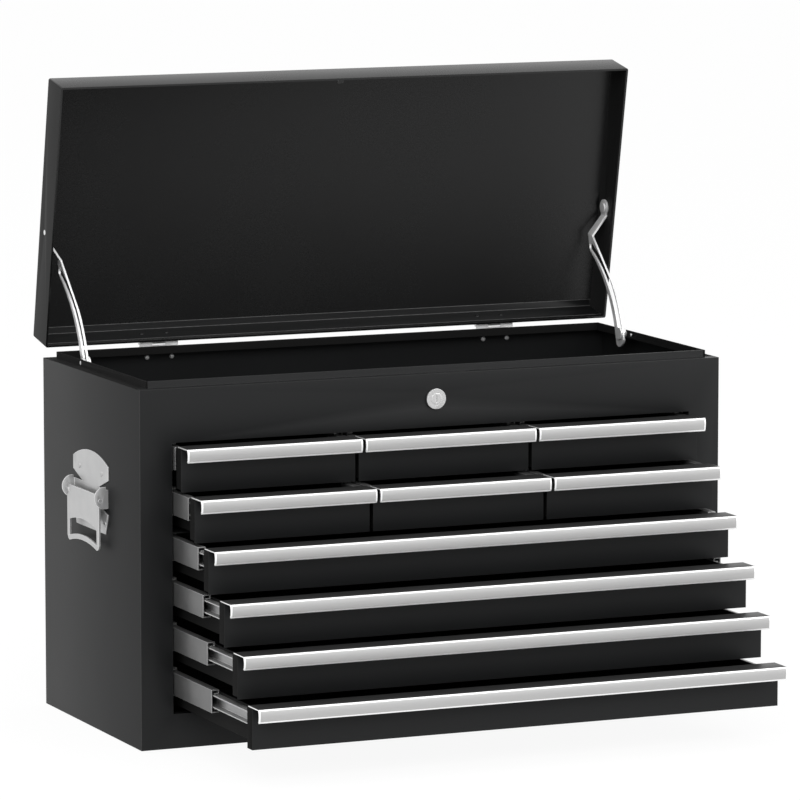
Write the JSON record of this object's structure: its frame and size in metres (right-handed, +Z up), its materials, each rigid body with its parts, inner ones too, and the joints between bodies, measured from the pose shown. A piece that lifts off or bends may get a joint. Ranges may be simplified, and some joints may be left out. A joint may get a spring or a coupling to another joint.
{
  "type": "machinist tool chest",
  "caption": "Sheet-steel machinist tool chest: hinged lid on slotted stays over a top compartment, drawers on telescopic slides, side handles and a front lock.",
  "frame": {"origin": "middle of the underside of the case", "axes": "+X to the right of someone who faces the drawers, +Y from the front to the back, +Z up"},
  "size_m": [0.6278, 0.5003, 0.6122],
  "materials": {
    "case_paint": "fine satin",
    "lid_paint": "fine satin",
    "inner_paint": "satin",
    "drawer_paint": "fine satin",
    "trim_aluminium": "satin extruded",
    "slide_steel": "zinc plated",
    "runner_steel": "zinc plated",
    "stay_steel": "zinc plated",
    "plated_steel": "zinc plated",
    "handle_chrome": "bright plated",
    "lock_chrome": "bright plated"
  },
  "bodies": {
    "cabinet": {"case_body": "case_paint", "front_frame": "case_paint", "base_pan": "case_paint", "compartment_floor": "inner_paint", "side_liners": "inner_paint", "drawer_dividers": "inner_paint", "fixed_slide_rails": "slide_steel", "hinge_case_leaves": "plated_steel", "hinge_pins": "plated_steel", "stay_studs": "plated_steel", "handle_plates": "handle_chrome", "lock_barrel": "lock_chrome"},
    "lid": {"lid_shell": "lid_paint", "lid_reinforcements": "lid_paint", "hinge_lid_leaves": "plated_steel"},
    "left_stay": {"left_lid_stay": "stay_steel"},
    "right_stay": {"right_lid_stay": "stay_steel"},
    "left_bail": {"left_handle_bail": "handle_chrome"},
    "right_bail": {"right_handle_bail": "handle_chrome"},
    "lock": {"lock_plug": "lock_chrome"},
    "slides_01": {"drawer_01_slide_middles": "slide_steel"},
    "drawer_01": {"drawer_01_tray": "drawer_paint", "drawer_01_trim": "trim_aluminium", "drawer_01_runners": "runner_steel"},
    "slides_02": {"drawer_02_slide_middles": "slide_steel"},
    "drawer_02": {"drawer_02_tray": "drawer_paint", "drawer_02_trim": "trim_aluminium", "drawer_02_runners": "runner_steel"},
    "slides_03": {"drawer_03_slide_middles": "slide_steel"},
    "drawer_03": {"drawer_03_tray": "drawer_paint", "drawer_03_trim": "trim_aluminium", "drawer_03_runners": "runner_steel"},
    "slides_04": {"drawer_04_slide_middles": "slide_steel"},
    "drawer_04": {"drawer_04_tray": "drawer_paint", "drawer_04_trim": "trim_aluminium", "drawer_04_runners": "runner_steel"},
    "slides_05": {"drawer_05_slide_middles": "slide_steel"},
    "drawer_05": {"drawer_05_tray": "drawer_paint", "drawer_05_trim": "trim_aluminium", "drawer_05_runners": "runner_steel"},
    "slides_06": {"drawer_06_slide_middles": "slide_steel"},
    "drawer_06": {"drawer_06_tray": "drawer_paint", "drawer_06_trim": "trim_aluminium", "drawer_06_runners": "runner_steel"},
    "slides_07": {"drawer_07_slide_middles": "slide_steel"},
    "drawer_07": {"drawer_07_tray": "drawer_paint", "drawer_07_trim": "trim_aluminium", "drawer_07_runners": "runner_steel"},
    "slides_08": {"drawer_08_slide_middles": "slide_steel"},
    "drawer_08": {"drawer_08_tray": "drawer_paint", "drawer_08_trim": "trim_aluminium", "drawer_08_runners": "runner_steel"},
    "slides_09": {"drawer_09_slide_middles": "slide_steel"},
    "drawer_09": {"drawer_09_tray": "drawer_paint", "drawer_09_trim": "trim_aluminium", "drawer_09_runners": "runner_steel"},
    "slides_10": {"drawer_10_slide_middles": "slide_steel"},
    "drawer_10": {"drawer_10_tray": "drawer_paint", "drawer_10_trim": "trim_aluminium", "drawer_10_runners": "runner_steel"}
  },
  "joints": [
    {"name": "lid_hinge", "type": "hinge", "parent": "cabinet", "child": "lid", "pos_m": [0, 0.1327, 0.3494], "axis": [-1, 0, 0], "range_deg": [-79, 0]},
    {"name": "left_stay_pivot", "type": "hinge", "parent": "lid", "child": "left_stay", "pos_m": [-0.298, 0.1236, 0.46224], "axis": [-1, 0, 0], "range_deg": [0, 16]},
    {"name": "right_stay_pivot", "type": "hinge", "parent": "lid", "child": "right_stay", "pos_m": [0.298, 0.1236, 0.46224], "axis": [-1, 0, 0], "range_deg": [0, 16]},
    {"name": "left_bail_swing", "type": "hinge", "parent": "cabinet", "child": "left_bail", "pos_m": [-0.3082, -0.0015, 0.225], "axis": [0, 1, 0], "range_deg": [0, 90]},
    {"name": "right_bail_swing", "type": "hinge", "parent": "cabinet", "child": "right_bail", "pos_m": [0.3082, -0.0015, 0.225], "axis": [0, -1, 0], "range_deg": [0, 90]},
    {"name": "lock_turn", "type": "hinge", "parent": "cabinet", "child": "lock", "pos_m": [0, -0.13, 0.316], "axis": [0, -1, 0], "range_deg": [0, 90]},
    {"name": "slides_01_travel", "type": "slide", "parent": "cabinet", "child": "slides_01", "axis": [0, -1, 0], "range_m": [-0.017, 0.098]},
    {"name": "drawer_01_travel", "type": "slide", "parent": "slides_01", "child": "drawer_01", "axis": [0, -1, 0], "range_m": [-0.003, 0.112]},
    {"name": "slides_02_travel", "type": "slide", "parent": "cabinet", "child": "slides_02", "axis": [0, -1, 0], "range_m": [-0.017, 0.098]},
    {"name": "drawer_02_travel", "type": "slide", "parent": "slides_02", "child": "drawer_02", "axis": [0, -1, 0], "range_m": [-0.003, 0.112]},
    {"name": "slides_03_travel", "type": "slide", "parent": "cabinet", "child": "slides_03", "axis": [0, -1, 0], "range_m": [-0.017, 0.098]},
    {"name": "drawer_03_travel", "type": "slide", "parent": "slides_03", "child": "drawer_03", "axis": [0, -1, 0], "range_m": [-0.003, 0.112]},
    {"name": "slides_04_travel", "type": "slide", "parent": "cabinet", "child": "slides_04", "axis": [0, -1, 0], "range_m": [-0.05, 0.065]},
    {"name": "drawer_04_travel", "type": "slide", "parent": "slides_04", "child": "drawer_04", "axis": [0, -1, 0], "range_m": [-0.004, 0.111]},
    {"name": "slides_05_travel", "type": "slide", "parent": "cabinet", "child": "slides_05", "axis": [0, -1, 0], "range_m": [-0.05, 0.065]},
    {"name": "drawer_05_travel", "type": "slide", "parent": "slides_05", "child": "drawer_05", "axis": [0, -1, 0], "range_m": [-0.004, 0.111]},
    {"name": "slides_06_travel", "type": "slide", "parent": "cabinet", "child": "slides_06", "axis": [0, -1, 0], "range_m": [-0.05, 0.065]},
    {"name": "drawer_06_travel", "type": "slide", "parent": "slides_06", "child": "drawer_06", "axis": [0, -1, 0], "range_m": [-0.004, 0.111]},
    {"name": "slides_07_travel", "type": "slide", "parent": "cabinet", "child": "slides_07", "axis": [0, -1, 0], "range_m": [-0.074, 0.041]},
    {"name": "drawer_07_travel", "type": "slide", "parent": "slides_07", "child": "drawer_07", "axis": [0, -1, 0], "range_m": [-0.014, 0.101]},
    {"name": "slides_08_travel", "type": "slide", "parent": "cabinet", "child": "slides_08", "axis": [0, -1, 0], "range_m": [-0.086, 0.029]},
    {"name": "drawer_08_travel", "type": "slide", "parent": "slides_08", "child": "drawer_08", "axis": [0, -1, 0], "range_m": [-0.04, 0.075]},
    {"name": "slides_09_travel", "type": "slide", "parent": "cabinet", "child": "slides_09", "axis": [0, -1, 0], "range_m": [-0.096, 0.019]},
    {"name": "drawer_09_travel", "type": "slide", "parent": "slides_09", "child": "drawer_09", "axis": [0, -1, 0], "range_m": [-0.062, 0.053]},
    {"name": "slides_10_travel", "type": "slide", "parent": "cabinet", "child": "slides_10", "axis": [0, -1, 0], "range_m": [-0.106, 0.009]},
    {"name": "drawer_10_travel", "type": "slide", "parent": "slides_10", "child": "drawer_10", "axis": [0, -1, 0], "range_m": [-0.087, 0.028]}
  ],
  "couplings": [
    {"joint": "left_stay_pivot", "follows": "lid_hinge", "ratio": -0.20253},
    {"joint": "right_stay_pivot", "follows": "lid_hinge", "ratio": -0.20253}
  ]
}
